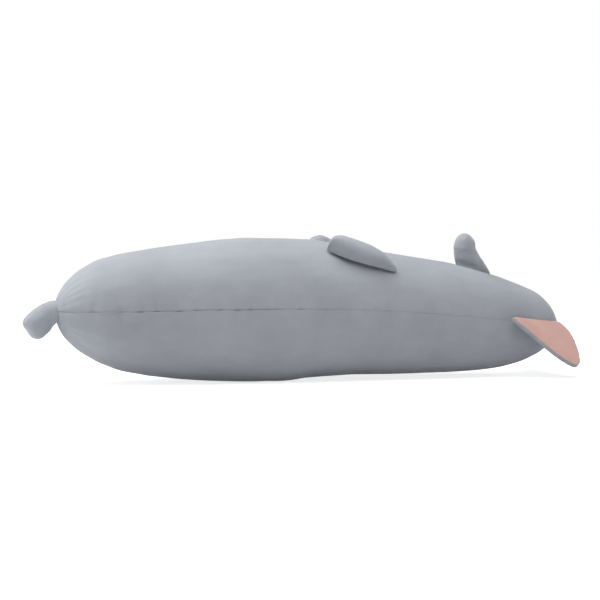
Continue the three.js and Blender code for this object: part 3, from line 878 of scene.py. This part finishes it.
bpy.ops.mesh.primitive_plane_add(size=FLOOR_SIZE, location=(0, 0, -FLOOR_BELOW))
floor = bpy.context.object
floor.name = "floor"
floor_paper = bpy.data.materials.new("floor_paper")
floor_paper.use_nodes = True
nodes, links = floor_paper.node_tree.nodes, floor_paper.node_tree.links
nodes.remove(nodes["Principled BSDF"])
matt = nodes.new("ShaderNodeBsdfDiffuse")
matt.inputs["Color"].default_value = PAPER_COLOUR
white_and_glow = nodes.new("ShaderNodeEmission")
seen = nodes.new("ShaderNodeLightPath")
place_on = nodes.new("ShaderNodeTexCoord")
away = nodes.new("ShaderNodeVectorMath")
away.operation = "LENGTH"
lighter = nodes.new("ShaderNodeMapRange")
lighter.inputs["From Min"].default_value = 0.7
lighter.inputs["From Max"].default_value = 2.6
lighter.inputs["To Min"].default_value = 0.65
lighter.inputs["To Max"].default_value = 0.89
# Painted bounce light: besides the white seen by the camera, the paper glows faintly on every ray and lifts
# the pillow's underside
share = nodes.new("ShaderNodeMath")
share.operation = "MULTIPLY_ADD"
share.inputs[2].default_value = 0.11
links.new(place_on.outputs["Object"], away.inputs[0])
links.new(away.outputs["Value"], lighter.inputs["Value"])
links.new(lighter.outputs["Result"], share.inputs[1])
both = nodes.new("ShaderNodeAddShader")
links.new(seen.outputs["Is Camera Ray"], share.inputs[0])
links.new(share.outputs["Value"], white_and_glow.inputs["Strength"])
links.new(matt.outputs["BSDF"], both.inputs[0])
links.new(white_and_glow.outputs["Emission"], both.inputs[1])
links.new(both.outputs["Shader"], nodes["Material Output"].inputs["Surface"])
floor.data.materials.append(floor_paper)

world = bpy.data.worlds.new("studio")
bpy.context.scene.world = world
world.use_nodes = True
nodes, links = world.node_tree.nodes, world.node_tree.links
fill = nodes["Background"]
fill.inputs["Color"].default_value = FILL_COLOUR
fill.inputs["Strength"].default_value = FILL_STRENGTH
backdrop = nodes.new("ShaderNodeBackground")
backdrop.inputs["Color"].default_value = (1.0, 1.0, 1.0, 1.0)
backdrop.inputs["Strength"].default_value = 1.0
seen = nodes.new("ShaderNodeLightPath")
direct = nodes.new("ShaderNodeMath")
direct.operation = "MAXIMUM"
through = nodes.new("ShaderNodeMath")
through.operation = "MAXIMUM"
mixed = nodes.new("ShaderNodeMixShader")
links.new(seen.outputs["Is Camera Ray"], direct.inputs[0])
links.new(seen.outputs["Is Glossy Ray"], direct.inputs[1])
links.new(direct.outputs["Value"], through.inputs[0])
links.new(seen.outputs["Is Transmission Ray"], through.inputs[1])
links.new(through.outputs["Value"], mixed.inputs["Fac"])
links.new(fill.outputs["Background"], mixed.inputs[1])
links.new(backdrop.outputs["Background"], mixed.inputs[2])
links.new(mixed.outputs["Shader"], nodes["World Output"].inputs["Surface"])


def hang_lamp(name, lamp_place, lit_place, power):
    bpy.ops.object.light_add(type="AREA", location=lamp_place)
    lamp = bpy.context.object
    lamp.name = name
    lamp.data.energy = power
    lamp.rotation_euler = (lit_place - lamp.location).to_track_quat("-Z", "Y").to_euler()
    return lamp


softbox = hang_lamp("softbox", SOFTBOX_PLACE, SOFTBOX_AIM, SOFTBOX_POWER)
softbox.data.shape = "RECTANGLE"
softbox.data.size = SOFTBOX_LENGTH
softbox.data.size_y = SOFTBOX_WIDTH
for name, lamp_place, lit_place, power in END_LIGHTS:
    hang_lamp(name, lamp_place, lit_place, power).data.size = END_LIGHT_SIZE

bpy.ops.object.camera_add(location=TARGET - CAMERA_WAY * CAMERA_DISTANCE)
camera = bpy.context.object
camera.rotation_euler = CAMERA_WAY.to_track_quat("-Z", "Y").to_euler()
camera.data.lens = CAMERA_LENS
camera.data.sensor_width = 36.0
camera.data.clip_end = 50.0
bpy.context.scene.camera = camera
bpy.context.scene.view_settings.view_transform = "Standard"
